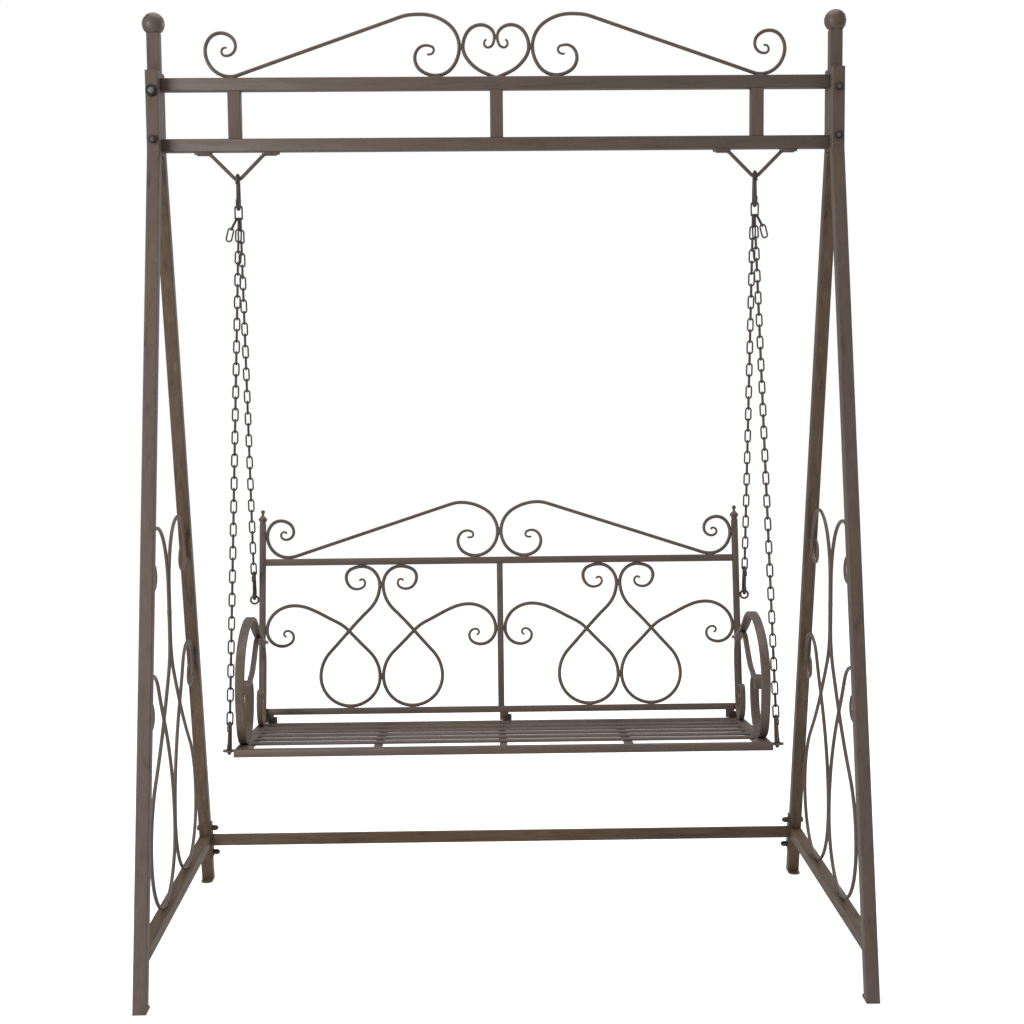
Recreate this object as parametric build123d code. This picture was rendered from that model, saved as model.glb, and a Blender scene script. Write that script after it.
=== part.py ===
from build123d import *

import os
from cmath import exp, phase
from dataclasses import dataclass
from math import asin, atan, cos, degrees, radians, sin, sqrt, tan

# Wrought iron garden swing: a two-seat bench on chains under an A-frame stand.
# Millimetres, +Z up. The origin is on the floor under the middle of the stand,
# the front of the swing looks along -Y, and left and right are seen from the front.

# Stand
HEIGHT = 2050.0
POST_X = 738.0
FOOT_Y = 445.0
TUBE = 28.0
TUBE_WALL = 2.0
TUBE_CORNER = 2.5
UPPER_BEAM_Z = 1895.5
LOWER_BEAM_Z = 1766.0
LEG_TOP_Z = 1923.0
LEG_BEND_Z = 1750.0
POST_BOTTOM_Z = 1745.0
BALL_DIAMETER = 49.0
BALL_SINK = 4.5
LOWER_RAIL_Z = 107.0
FLANGE_HEIGHT = 94.0
FLANGE_THICKNESS = 3.0
FLANGE_BOLT_PITCH = 68.0
FOOT_PLATE = 3.0
FOOT_TAB = 25.0
ANCHOR_HOLE = 9.0
SPACER_X = 567.0
POST_BOLT_Z = (1879.0, 1776.0)
POST_STACK = 3 * TUBE
BEYOND = 200.0

# Fasteners, their heads and nuts as width across flats and height
BOLT = 8.0
BOLT_CLEARANCE = 0.1
BOLT_TAIL = 9.0
POST_HEAD = (14.0, 6.5)
FLANGE_HEAD = (13.0, 5.3)
CAP_NUT = (13.0, 10.5)
CAP_NUT_DEPTH = 10.0
WASHER = 1.6
WASHER_DIAMETER = 24.0
LUG_BOLT = 6.0
LUG_BOLT_TAIL = 6.0
LUG_HEAD = (10.0, 4.0)
LUG_NUT = (10.0, 5.0)

# Round rod of the scrolls in the crests, the back and the side panels
BAR = 8.0
BAR_TIP = 4.6
BAR_TAPER = 90.0
STRAIGHT = 1e-4

# Hangers, hooks and chains
HANGER_X = 564.0
HANGER_ROD = 8.0
HANGER_PAD = 38.0
HANGER_PAD_WIDTH = 20.0
HANGER_PAD_THICKNESS = 5.0
PIVOT_Z = 1694.0
HANGER_BEND = 12.0
TOP_HOOK = 80.0
TOP_HOOK_WIRE = 8.0
TOP_HOOK_BOWS = (8.3, 14.5)
LOW_HOOK = 70.0
LOW_HOOK_WIRE = 7.0
LOW_HOOK_BOWS = (7.8, 13.0)
CHAIN_WIRE = 3.6
CHAIN_PITCH = 25.25
CHAIN_WIDTH = 15.5
CHAIN_GAP = 0.15
JOINING_LINK_WIDTH = 19.0
JOINING_LINK_LENGTH = 33.0
JOINING_CORNER = 4.0
CHAIN_SIDE_STEP = 3.85
TAIL_TILT = 28.0
TAIL_END_TILT = 14.0
GATE = 5.2
GATE_GAP = 0.5
NOSE = 3.0
HINGE_DROP = 9.0
HINGE_EYE = 3.2
HINGE_PIN = 2.5
HINGE_CLEARANCE = 0.08
CHEEK = 1.2
CHEEK_GAP = 0.3
CHEEK_RISE = 3.0

# Seat
SEAT_FRONT_Y = -301.0
SEAT_FRONT_Z = 500.7
SEAT_TILT = 4.7
SEAT_HALF_WIDTH = 559.7
SEAT_DEPTH = 419.5
SEAT_RAIL_WIDTH = 25.0
SEAT_RAIL_HEIGHT = 15.0
SEAT_RAIL_WALL = 1.5
SLAT_WIDTH = 30.0
SLAT_THICKNESS = 4.0
SLAT_PITCH = 59.2
SLAT_COUNT = 5
FIRST_SLAT = 88.8
CROSS_BAR_X = 266.5
CROSS_BAR = 15.0

# Back
BACK_OFFSET_Y = 423.5
BACK_Z = 491.6
BACK_RECLINE = 12.0
BACK_POST_X = 552.8
BACK_POST = 14.0
BACK_RAIL = 15.0
BACK_WALL = 3.0
BACK_TOP = 346.3
BACK_POST_TOP = 436.3
REAR_EYE = 259.7
REAR_EYE_RADIUS = 9.0
REAR_EYE_WIRE = 5.0
REAR_EYE_X = BACK_POST_X + BACK_POST / 2 + REAR_EYE_RADIUS + REAR_EYE_WIRE / 2
FRONT_EYE = 24.0
FRONT_EYE_HOLE = 15.0
FRONT_EYE_THICKNESS = 4.0
FRONT_EYE_FOOT = 3.0
EYE_FOOT = 7.0
FRONT_EYE_REACH = 3.2
FRONT_EYE_X = SEAT_HALF_WIDTH + FRONT_EYE / 2
FRONT_EYE_Y = 15.0
FRONT_EYE_Z = -3.0
KNOB_BELL = [(5.4, 0), (6.9, 4), (10.3, 10.3), (4.6, 18.6), (3.0, 22.5)]
KNOB_NECK = 6.0
KNOB_BALL = 10.0
KNOB_BALL_Z = 28.4
LUG_X = (-531.6, 9.9, 533.5)
LUG = 4.0
LUG_WIDTH = 20.0
LUG_SHIFT = 3.5
LUG_GAP = 1.0
LUG_BOLT_Z = 9.0

# Arms
ARM_X = 547.8
ARM_BAR = 7.0
ARM_WIDTH = 20.0
ARM_ROUNDING = 2.9
ARM_SCROLL_BAR = 5.0
ARM_SCROLL_WIDTH = 12.0
ARM_BACK_END = 160.0
ARM_MEETING = (334.5, 207.8)
ARM_HEADING = 162.7
ARM_CURL = (167.2, 97.9)
ARM_SCROLL_ON_POST = (110.0, 58.0)


# Bent flat bar and round rod

def dot(a, b):
    return a.real * b.real + a.imag * b.imag


def biarc(start, end):
    """Two tangent arcs from one knot (x, y, heading) to the next, as (point, tangent, point)."""
    p, t = complex(start[0], start[1]), exp(1j * radians(start[2]))
    q, u = complex(end[0], end[1]), exp(1j * radians(end[2]))
    chord = q - p
    bend = 1 - dot(t, u)
    along = dot(chord, t + u)
    if bend < 1e-9:
        reach = abs(chord) ** 2 / (2 * along)
    else:
        reach = (sqrt(along**2 + 2 * bend * abs(chord) ** 2) - along) / (2 * bend)
    middle = (p + q + reach * (t - u)) / 2
    crossing = chord - reach * (t + u)
    return [(p, t, middle), (middle, crossing / abs(crossing), q)]


def arcs_along(knots):
    """The arcs and straights through the knots, as (start, tangent, end, half turn, length)."""
    arcs = []
    for start, end in zip(knots, knots[1:]):
        for p, t, q in biarc(start, end):
            half_turn = phase((q - p) / t)
            stretch = abs(q - p) * (half_turn / sin(half_turn) if abs(half_turn) > STRAIGHT else 1)
            arcs.append((p, t, q, half_turn, stretch))
    return arcs


def arc_middle(p, q, half_turn):
    """Direction of an arc's chord and the point halfway along the arc."""
    direction = (q - p) / abs(q - p)
    sagitta = abs(q - p) / 2 * tan(half_turn / 2)
    return direction, (p + q) / 2 - 1j * direction * sagitta


def flat(z):
    return z.real, z.imag


def flat_bar(knots, thickness, width, rounding=0.0):
    """Flat bar bent along the knots in the XY plane, its width along Z, its edges rounded."""
    sides = {1: [], -1: []}
    ends = []
    for p, t, q, half_turn, _ in arcs_along(knots):
        direction, middle = arc_middle(p, q, half_turn)
        last = t * exp(2j * half_turn)
        for side in sides:
            shift = side * 1j * thickness / 2
            a, m, b = [flat(z) for z in (p + shift * t, middle + shift * direction, q + shift * last)]
            sides[side].append(ThreePointArc(a, m, b) if abs(half_turn) > STRAIGHT else Line(a, b))
            ends.append((a, b))
    caps = [Line(ends[0][0], ends[1][0]), Line(ends[-2][1], ends[-1][1])]
    shape = extrude(Face(Wire(sides[1] + sides[-1] + caps)), amount=width / 2, both=True)
    if not rounding:
        return shape
    long_edges = [e for e in shape.edges() if abs(abs(e.center().Z) - width / 2) < STRAIGHT]
    return fillet(long_edges, rounding)


def rod(knots, start_tip=None, end_tip=None, taper=BAR_TAPER):
    """Round rod bent along the knots in the XY plane, drawn out thinner towards a tip."""
    arcs = arcs_along(knots)
    total = sum(arc[-1] for arc in arcs)

    def radius(s):
        sizes = [BAR]
        if start_tip:
            sizes.append(start_tip + (BAR - start_tip) * s / taper)
        if end_tip:
            sizes.append(end_tip + (BAR - end_tip) * (total - s) / taper)
        return min(sizes) / 2

    runs = []
    s = 0.0
    for p, t, q, half_turn, stretch in arcs:
        ends = [(p, t, s), (q, t * exp(2j * half_turn), s + stretch)]
        sections = [
            Plane((*flat(z), 0), x_dir=(*flat(0.8j * u), 0.6), z_dir=(*flat(u), 0)) * Circle(radius(a))
            for z, u, a in ends
        ]
        if abs(radius(s) - radius(s + stretch)) > STRAIGHT:
            runs.append(tapered_run(p, q, half_turn, sections))
        elif abs(half_turn) > STRAIGHT:
            axis = Axis((*flat(p + 1j * t * abs(q - p) / 2 / sin(half_turn)), 0), (0, 0, 1))
            runs.append(revolve(sections[0], axis=axis, revolution_arc=degrees(2 * half_turn)))
        else:
            runs.append(extrude(sections[0], amount=stretch))
        s += stretch
    skin = [face for run in runs for face in run.faces() if face.geom_type != GeomType.PLANE]
    for run, end in ((runs[0], arcs[0][0]), (runs[-1], arcs[-1][2])):
        caps = run.faces().filter_by(GeomType.PLANE)
        skin.append(caps.sort_by_distance((*flat(end), 0))[0])
    return Solid(Shell(skin))


def tapered_run(p, q, half_turn, sections):
    if abs(half_turn) > STRAIGHT:
        path = ThreePointArc(flat(p), flat(arc_middle(p, q, half_turn)[1]), flat(q))
    else:
        path = Line(flat(p), flat(q))
    return sweep(sections, path=path, multisection=True)


def mirrored(knots):
    return [(-x, y, 180 - heading) for x, y, heading in knots]


# Stock and fasteners

def tube_section(width, height, wall, corner=TUBE_CORNER):
    bore = RectangleRounded(width - 2 * wall, height - 2 * wall, max(corner - wall, 0.5))
    return RectangleRounded(width, height, corner) - bore


def tube_along_x(length, width, height, wall, corner=TUBE_CORNER):
    section = Plane.YZ * tube_section(width, height, wall, corner)
    return extrude(section, amount=length / 2, both=True)


def ring(outer, inner, thickness):
    return extrude(Circle(outer / 2) - Circle(inner / 2), amount=thickness)


def hexagon(size):
    """Hexagonal head or nut blank with its top corners turned off, standing on Z = 0."""
    across_flats, height = size
    blank = extrude(RegularPolygon(across_flats / 2, 6, major_radius=False), amount=height)
    turned = Cylinder(across_flats * 0.57, height, align=(Align.CENTER, Align.CENTER, Align.MIN))
    return blank & chamfer(turned.edges().group_by(Axis.Z)[-1], across_flats * 0.06)


def bolt(diameter, length, head):
    """Hexagon bolt along Z, its head under Z = 0 and its shank above."""
    shank = Cylinder(diameter / 2, length, align=(Align.CENTER, Align.CENTER, Align.MIN))
    shank = chamfer(shank.edges().group_by(Axis.Z)[-1], diameter * 0.08)
    return Rot(180, 0, 0) * hexagon(head) + shank


def nut(diameter, size):
    return hexagon(size) - Cylinder(diameter / 2, 4 * size[1])


def cap_nut(diameter, size, depth):
    """Domed nut standing on Z = 0, bored from below to the given depth."""
    across_flats, height = size
    above = Cylinder(across_flats, across_flats, align=(Align.CENTER, Align.CENTER, Align.MIN))
    crown = Pos(0, 0, height) * (Sphere(across_flats * 0.46) & above)
    bore = Cylinder(diameter / 2, depth, align=(Align.CENTER, Align.CENTER, Align.MIN))
    return hexagon(size) + crown - bore


# Stand

LEG_SLOPE = (FOOT_Y - TUBE) / LEG_BEND_Z
LEG_TILT = degrees(atan(LEG_SLOPE))


def leg_y(z):
    """Distance of a sloping leg's centre line from the middle of the stand at a height."""
    return FOOT_Y - LEG_SLOPE * z


def leg_shape(side, end, outline):
    x = side * POST_X
    below = -2 * TUBE
    top, bend, foot = (end * TUBE, LEG_TOP_Z), (end * TUBE, LEG_BEND_Z), (end * leg_y(below), below)
    path = Polyline((x, *top), (x, *bend), (x, *foot))
    start = Plane(origin=path @ 0, x_dir=(1, 0, 0), z_dir=path % 0)
    shape = sweep(start * outline, path=path, transition=Transition.RIGHT)
    ground = Box(BEYOND, BEYOND, BEYOND, align=(Align.CENTER, Align.CENTER, Align.MAX))
    return shape - Pos(x, end * FOOT_Y, FOOT_PLATE) * ground


def solid_leg(side, end):
    return leg_shape(side, end, RectangleRounded(TUBE, TUBE, TUBE_CORNER))


def post_bolt_holes(side):
    hole = Rot(90, 0, 0) * Cylinder(BOLT / 2 + BOLT_CLEARANCE, BEYOND)
    return [Pos(side * POST_X, 0, z) * hole for z in POST_BOLT_Z]


def flange_frame(side):
    """Plane on the inner face of a rear leg at the stretcher, x up the leg, z towards the middle."""
    y = leg_y(LOWER_RAIL_Z)
    origin = (side * (POST_X - TUBE / 2), y, LOWER_RAIL_Z)
    return Plane(origin, x_dir=(0, -sin(radians(LEG_TILT)), cos(radians(LEG_TILT))), z_dir=(-side, 0, 0))


def flange_bolt_spots():
    return [Pos(u * FLANGE_BOLT_PITCH / 2, 0, 0) for u in (1, -1)]


def leg(side, end):
    bore = RectangleRounded(TUBE - 2 * TUBE_WALL, TUBE - 2 * TUBE_WALL, 1)
    shape = solid_leg(side, end) - leg_shape(side, end, bore)
    shape += Pos(side * POST_X, end * TUBE, LEG_TOP_Z - TUBE_WALL / 2) * Box(
        TUBE - TUBE_WALL, TUBE - TUBE_WALL, TUBE_WALL
    )
    for hole in post_bolt_holes(side):
        shape -= hole
    if end > 0:
        for spot in flange_bolt_spots():
            drill = Cylinder(BOLT / 2 + BOLT_CLEARANCE, 4 * TUBE)
            shape -= flange_frame(side).location * spot * drill
    return shape


def foot_plate(side, end):
    """Flat plate under a foot, with a round tab towards the other leg and its anchor hole."""
    half = TUBE / 2 / cos(radians(LEG_TILT))
    outer = leg_y(FOOT_PLATE) + half
    tab = leg_y(FOOT_PLATE) - half - FOOT_TAB + TUBE / 2
    outline = Pos(0, (outer + tab) / 2) * Rectangle(TUBE, outer - tab) + Pos(0, tab) * Circle(TUBE / 2)
    outline -= Pos(0, tab) * Circle(ANCHOR_HOLE / 2)
    plate = extrude(outline, amount=FOOT_PLATE)
    turn = Rot(0, 0, 0 if end > 0 else 180)
    return Pos(side * POST_X, 0, 0) * turn * plate


def lower_rail(side):
    shape = Pos(0, 0, LOWER_RAIL_Z) * Rot(0, 0, 90) * tube_along_x(2 * FOOT_Y, TUBE, TUBE, TUBE_WALL)
    beyond = Box(BEYOND, BEYOND, BEYOND, align=(Align.CENTER, Align.MIN, Align.CENTER))
    beyond = Rot(LEG_TILT, 0, 0) * Pos(0, -TUBE / 2, 0) * beyond
    for turn in (0, 180):
        shape -= Rot(0, 0, turn) * Pos(0, leg_y(LOWER_RAIL_Z), LOWER_RAIL_Z) * beyond
    return Pos(side * POST_X, 0, 0) * shape


def post(side):
    """Short upright between the two leg tops, closed by the plate under its ball."""
    top = HEIGHT - BALL_DIAMETER + BALL_SINK
    height = top - POST_BOTTOM_Z
    shape = extrude(tube_section(TUBE, TUBE, TUBE_WALL), amount=height)
    inside = TUBE - TUBE_WALL
    cap = Box(inside, inside, TUBE_WALL, align=(Align.CENTER, Align.CENTER, Align.MAX))
    shape += Pos(0, 0, height) * cap
    shape = Pos(side * POST_X, 0, POST_BOTTOM_Z) * shape
    for hole in post_bolt_holes(side):
        shape -= hole
    return shape


def ball_finial(side):
    ball = Sphere(BALL_DIAMETER / 2)
    below = Box(BEYOND, BEYOND, BEYOND, align=(Align.CENTER, Align.CENTER, Align.MAX))
    ball -= Pos(0, 0, -BALL_DIAMETER / 2 + BALL_SINK) * below
    return Pos(side * POST_X, 0, HEIGHT - BALL_DIAMETER / 2) * ball


def beam(z):
    return Pos(0, 0, z) * tube_along_x(2 * POST_X - TUBE, TUBE, TUBE, TUBE_WALL)


def beam_spacer(x):
    height = UPPER_BEAM_Z - LOWER_BEAM_Z - TUBE
    shape = extrude(tube_section(TUBE, TUBE, TUBE_WALL), amount=height)
    return Pos(x, 0, LOWER_BEAM_Z + TUBE / 2) * shape


# Scrolls, as knots of position and heading along the middle of the rod

BEAM_TOP = UPPER_BEAM_Z + TUBE / 2
ON_BEAM = BEAM_TOP + BAR / 2

CREST = [
    (582, 1974, 30),
    (593, 1966, 270),
    (583, 1957.5, 180),
    (562.5, 1978, 90),
    (594, 2006, 0),
    (628, 1968, 270),
    (575, ON_BEAM, 180),
    (559.5, ON_BEAM + 2.6, 160.9),
    (206, 2038, 160.9),
    (162.6, 2043.5, 180),
    (79.3, 1974, 270),
    (130.5, ON_BEAM, 0),
    (175.8, 1950.5, 90),
    (152, 1977.5, 180),
    (134.5, 1967.5, 270),
    (149, 1959, 20),
]

HEART = [
    (0, BEAM_TOP - 1.5, 22),
    (49.7, 1934.2, 42),
    (79.3 - BAR, 1974, 90),
    (32.5, 2020.5, 180),
    (3.3, 1995, 270),
    (17.5, 1972.5, 0),
    (25.5, 1981, 90),
    (20, 1989, 170),
]


def beside_leg(z, heading):
    """Knot of a rod that touches the inner face of a leg at a height, going up or down it."""
    away = (TUBE + BAR) / 2
    tilt = radians(LEG_TILT)
    return (leg_y(z) - away * cos(tilt), z - away * sin(tilt), heading + LEG_TILT)


SIDE_INNER = BAR / 2
ON_LOWER_RAIL = LOWER_RAIL_Z + TUBE / 2 + BAR / 2
SIDE_PANEL_UPPER = [
    (172, 873, 180),
    (147, 846, 270),
    (178, 820, 0),
    beside_leg(868, 90),
    (133, 946, 180),
    (SIDE_INNER, 797, 270),
    (SIDE_INNER, 693, 270),
    (92.3, 532.2, 310),
    (285, 265, 270),
    (145, ON_LOWER_RAIL, 180),
]
SIDE_PANEL_LOWER = [
    (145, ON_LOWER_RAIL, 180),
    (SIDE_INNER, 270, 90),
    (100, 523, 52),
    (226, 642, 0),
    beside_leg(594, 270),
    (250, 534.5, 180),
    (217, 560, 90),
    (234, 584.5, 0),
]

BACK_BAY = BACK_POST_X / 2
BACK_INNER = BACK_BAY - BACK_POST / 2
ON_TOP_RAIL = BACK_TOP + BACK_RAIL / 2 + BAR / 2
UNDER_TOP_RAIL = BACK_TOP - BACK_RAIL / 2 - BAR / 2
ON_BOTTOM_RAIL = BACK_RAIL / 2 + BAR / 2

BACK_CREST = [
    (499.5, 414.6, 200),
    (510.3, 409.6, 270),
    (498.5, 399.3, 180),
    (480.7, 417.0, 90),
    (511.3, 443.7, 0),
    (BACK_POST_X - (BACK_POST + BAR) / 2, 407.7, 270),
    (493.6, ON_TOP_RAIL, 180),
    (472.8, ON_TOP_RAIL + 3.4, 161.8),
    (115.5, ON_TOP_RAIL + 120.8, 161.8),
    (90.3, 483.2, 180),
    (BAR / 2, 414.6, 270),
    (57.7, ON_TOP_RAIL, 0),
    (97.2, 392.4, 90),
    (75.5, 416.6, 180),
    (61.2, 407.2, 270),
    (75.0, 401.3, 20),
]

BACK_PANEL_UPPER = [
    (-50.8, 300.6, 80),
    (-45.5, 304.8, 0),
    (-38.0, 296.1, 270),
    (-57.3, 281.8, 180),
    (-81.9, 309.5, 90),
    (-44.9, UNDER_TOP_RAIL, 0),
    (-BAR / 2, 291.7, 270),
    (-75.5, 184.6, 229),
    (-140.7, 80.0, 270),
    (-71.6, ON_BOTTOM_RAIL, 0),
]
BACK_PANEL_LOWER = [
    (-71.6, ON_BOTTOM_RAIL, 0),
    (-BAR / 2, 79.0, 90),
    (-75.5, 184.6, 133),
    (-135.2, 222.1, 151),
    (-203.3, 244.8, 180),
    (-BACK_INNER + BAR / 2, 187.5, 270),
    (-230.0, 151.0, 0),
    (-203.8, 171.8, 90),
    (-218.5, 186.5, 180),
    (-226.5, 179.0, 270),
    (-220.5, 172.5, 340),
]


def scroll(knots):
    return rod(knots, BAR_TIP, BAR_TIP)


def loop_scroll(upper, lower):
    """A scroll whose rod crosses itself, made as two runs that meet at the foot of its loop."""
    return rod(upper, start_tip=BAR_TIP) + rod(lower, end_tip=BAR_TIP)


def heart_half(side):
    """Half of the heart, cut to meet the other half and the beam."""
    half = Box(BEYOND, BEYOND, BEYOND, align=(Align.MIN, Align.CENTER, Align.MIN))
    shape = (Plane.XZ.location * rod(HEART, end_tip=BAR_TIP)) & Pos(0, 0, BEAM_TOP) * half
    return shape if side > 0 else shape.mirror(Plane.YZ)


def side_scroll(side, end):
    upper, lower = SIDE_PANEL_UPPER, SIDE_PANEL_LOWER
    if end < 0:
        upper, lower = mirrored(upper), mirrored(lower)
    return Pos(side * POST_X, 0, 0) * Plane.YZ.location * loop_scroll(upper, lower)


def crest_scroll(knots, side):
    return Plane.XZ.location * scroll(knots if side > 0 else mirrored(knots))


# Stretcher between the rear legs

def stretcher():
    length = 2 * (POST_X - TUBE / 2 - FLANGE_THICKNESS)
    shape = Rot(-LEG_TILT, 0, 0) * tube_along_x(length, TUBE, TUBE, TUBE_WALL)
    return Pos(0, leg_y(LOWER_RAIL_Z), LOWER_RAIL_Z) * shape


def stretcher_flange(side):
    outline = RectangleRounded(FLANGE_HEIGHT, TUBE, 3)
    for spot in flange_bolt_spots():
        outline -= spot * Circle(BOLT / 2 + BOLT_CLEARANCE)
    return flange_frame(side).location * extrude(outline, amount=FLANGE_THICKNESS)


def stretcher_bolt(side, spot):
    length = TUBE + FLANGE_THICKNESS + BOLT_TAIL
    return flange_frame(side).location * spot * Pos(0, 0, -TUBE) * bolt(BOLT, length, FLANGE_HEAD)


def stretcher_cap_nut(side, spot):
    seat = flange_frame(side).location * spot * Pos(0, 0, FLANGE_THICKNESS)
    return seat * cap_nut(BOLT, CAP_NUT, CAP_NUT_DEPTH)


# Bolts through the leg tops and posts


def post_bolt_frame(side, z):
    """Plane on the front face of a front leg's top, z towards the rear."""
    return Plane((side * POST_X, -POST_STACK / 2, z), x_dir=(1, 0, 0), z_dir=(0, 1, 0))


def post_bolt(side, z):
    length = POST_STACK + 2 * WASHER + BOLT_TAIL
    return post_bolt_frame(side, z).location * Pos(0, 0, -WASHER) * bolt(BOLT, length, POST_HEAD)


def post_washers(side, z):
    washer = ring(WASHER_DIAMETER, BOLT + 2 * BOLT_CLEARANCE, WASHER)
    frame = post_bolt_frame(side, z).location
    return [frame * Pos(0, 0, -WASHER) * washer, frame * Pos(0, 0, POST_STACK) * washer]


def post_nut(side, z):
    return post_bolt_frame(side, z).location * Pos(0, 0, POST_STACK + WASHER) * nut(BOLT, POST_HEAD)


# Hangers under the lower beam

def hanger(side):
    """Round rod bent to a V, its ends beaten flat and welded under the lower beam."""
    pad_z = LOWER_BEAM_Z - TUBE / 2
    rod_z = pad_z - HANGER_ROD / 2
    low = PIVOT_Z - (sqrt(2) - 1) * HANGER_BEND
    spread = rod_z - low
    reach = spread + 0.7 * HANGER_PAD
    corners = [(-reach, rod_z), (-spread, rod_z), (0, low), (spread, rod_z), (reach, rod_z)]
    path = FilletPolyline(*[(x, 0, z) for x, z in corners], radius=HANGER_BEND)
    shape = sweep(Plane(origin=path @ 0, z_dir=path % 0) * Circle(HANGER_ROD / 2), path=path)
    pad = extrude(RectangleRounded(HANGER_PAD, HANGER_PAD_WIDTH, 6), amount=-HANGER_PAD_THICKNESS)
    for end in (-1, 1):
        shape += Pos(end * (spread + 0.37 * HANGER_PAD), 0, pad_z) * pad
    return Pos(side * HANGER_X, 0, 0) * shape


# Links, chains and snap hooks

def link(length, width, wire, corner=None):
    """Welded link in the XZ plane, long along Z, the middle of its upper wire on the origin."""
    across, along = width - wire, length - wire
    radius = corner or across / 2
    section = Circle(wire / 2)
    quarter = revolve(Pos(radius, 0, 0) * section, axis=Axis.Y, revolution_arc=-90)
    half = Pos(across / 2 - radius, 0, along / 2 - radius) * quarter
    half += Pos(across / 2, 0, 0) * extrude(section, amount=along / 2 - radius)
    if corner:
        flat_top = Rot(0, -90, 0) * extrude(section, amount=across / 2 - radius)
        half += Pos(across / 2 - radius, 0, along / 2) * flat_top
    top = half + half.mirror(Plane.YZ)
    return Pos(0, 0, -along / 2) * (top + top.mirror(Plane.XY))


@dataclass(frozen=True)
class Hook:
    """Pear-shaped snap hook in the XZ plane, the centre of its narrow bow on the origin."""

    length: float
    wire: float
    narrow: float
    wide: float

    @property
    def drop(self):
        """From the centre of the narrow bow down to the centre of the wide one."""
        return self.length - self.wire - self.narrow - self.wide

    def point(self, side, lower, beyond=0.0):
        """Tangent point of a bow and a side, moved down that side by a length."""
        slope = asin((self.wide - self.narrow) / self.drop)
        radius = self.wide if lower else self.narrow
        z = radius * sin(slope) - (self.drop if lower else 0)
        return (side * (radius * cos(slope) + beyond * sin(slope)), 0, z - beyond * cos(slope))

    @property
    def hinge(self):
        return self.point(-1, False, HINGE_DROP)

    def body(self):
        nose = self.point(-1, True, -NOSE)
        bottom, top = (0, 0, -self.drop - self.wide), (0, 0, self.narrow)
        path = Wire(
            [
                Line(nose, self.point(-1, True)),
                ThreePointArc(self.point(-1, True), bottom, self.point(1, True)),
                Line(self.point(1, True), self.point(1, False)),
                ThreePointArc(self.point(1, False), top, self.point(-1, False)),
                Line(self.point(-1, False), self.point(-1, False, HINGE_DROP - HINGE_EYE)),
            ]
        )
        shape = sweep(Plane(origin=nose, z_dir=path % 0) * Circle(self.wire / 2), path=path)
        x, _, z = self.hinge
        x_up, _, z_up = self.point(-1, False, HINGE_DROP - HINGE_EYE - CHEEK_RISE)
        eyes = [Pos(x, z) * Circle(HINGE_EYE), Pos(x_up, z_up) * Circle(HINGE_EYE)]
        cheek = Plane.XZ * make_hull([edge for eye in eyes for edge in eye.edges()])
        plate = extrude(cheek, amount=CHEEK / 2, both=True)
        for flank in (-1, 1):
            shape += Pos(0, flank * (GATE / 2 + CHEEK_GAP + CHEEK / 2), 0) * plate
        pin = Rot(90, 0, 0) * Cylinder(HINGE_PIN / 2, GATE + 2 * CHEEK_GAP + 2 * CHEEK + 1)
        return shape + Pos(x, 0, z) * pin

    def gate(self):
        x, _, z = self.hinge
        tip_x, _, tip_z = self.point(-1, True, -NOSE)
        reach = sqrt((tip_x - x) ** 2 + (tip_z - z) ** 2) - GATE_GAP
        shape = Sphere(GATE / 2)
        shape += Cylinder(GATE / 2, reach, align=(Align.CENTER, Align.CENTER, Align.MAX))
        shape -= Rot(90, 0, 0) * Cylinder(HINGE_PIN / 2 + HINGE_CLEARANCE, 2 * GATE)
        lean = degrees(asin((self.wide - self.narrow) / self.drop))
        return Pos(x, 0, z) * Rot(0, lean, 0) * shape


TOP_SNAP = Hook(TOP_HOOK, TOP_HOOK_WIRE, *TOP_HOOK_BOWS)
LOW_SNAP = Hook(LOW_HOOK, LOW_HOOK_WIRE, *LOW_HOOK_BOWS)


def top_hook_frame(side):
    """Place of a top hook on its hanger, the gate to the front."""
    return Plane((side * HANGER_X, 0, PIVOT_Z), x_dir=(0, 1, 0), z_dir=(0, 0, 1)).location


def joining_link_z():
    """Height of the upper wire of a joining link, inside the wide bow of its top hook."""
    wire = PIVOT_Z - TOP_SNAP.drop - TOP_SNAP.wide
    return wire + (TOP_HOOK_WIRE + CHAIN_WIRE) / 2 + CHAIN_GAP


CHAIN_TOP_Z = joining_link_z() - (JOINING_LINK_LENGTH - CHAIN_WIRE)


# Swing frames

def seat_frame():
    """On the front top edge of the seat, y to the rear along the seat, z square to it."""
    return Pos(0, SEAT_FRONT_Y, SEAT_FRONT_Z) * Rot(-SEAT_TILT, 0, 0)


def back_frame():
    """On the middle of the back's bottom rail, y up the back, z to the front."""
    return Pos(0, SEAT_FRONT_Y + BACK_OFFSET_Y, BACK_Z) * Rot(90 - BACK_RECLINE, 0, 0)


def placed(frame, x, y, z):
    return (frame * Pos(x, y, z)).position


def chain_end(side, rear):
    """Middle of the eye wire that the lower hook of a chain goes round."""
    if rear:
        return placed(back_frame(), side * REAR_EYE_X, REAR_EYE + REAR_EYE_RADIUS, 0)
    rim = FRONT_EYE_Y + (FRONT_EYE + FRONT_EYE_HOLE) / 4
    return placed(seat_frame(), side * FRONT_EYE_X, rim, FRONT_EYE_Z)


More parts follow.
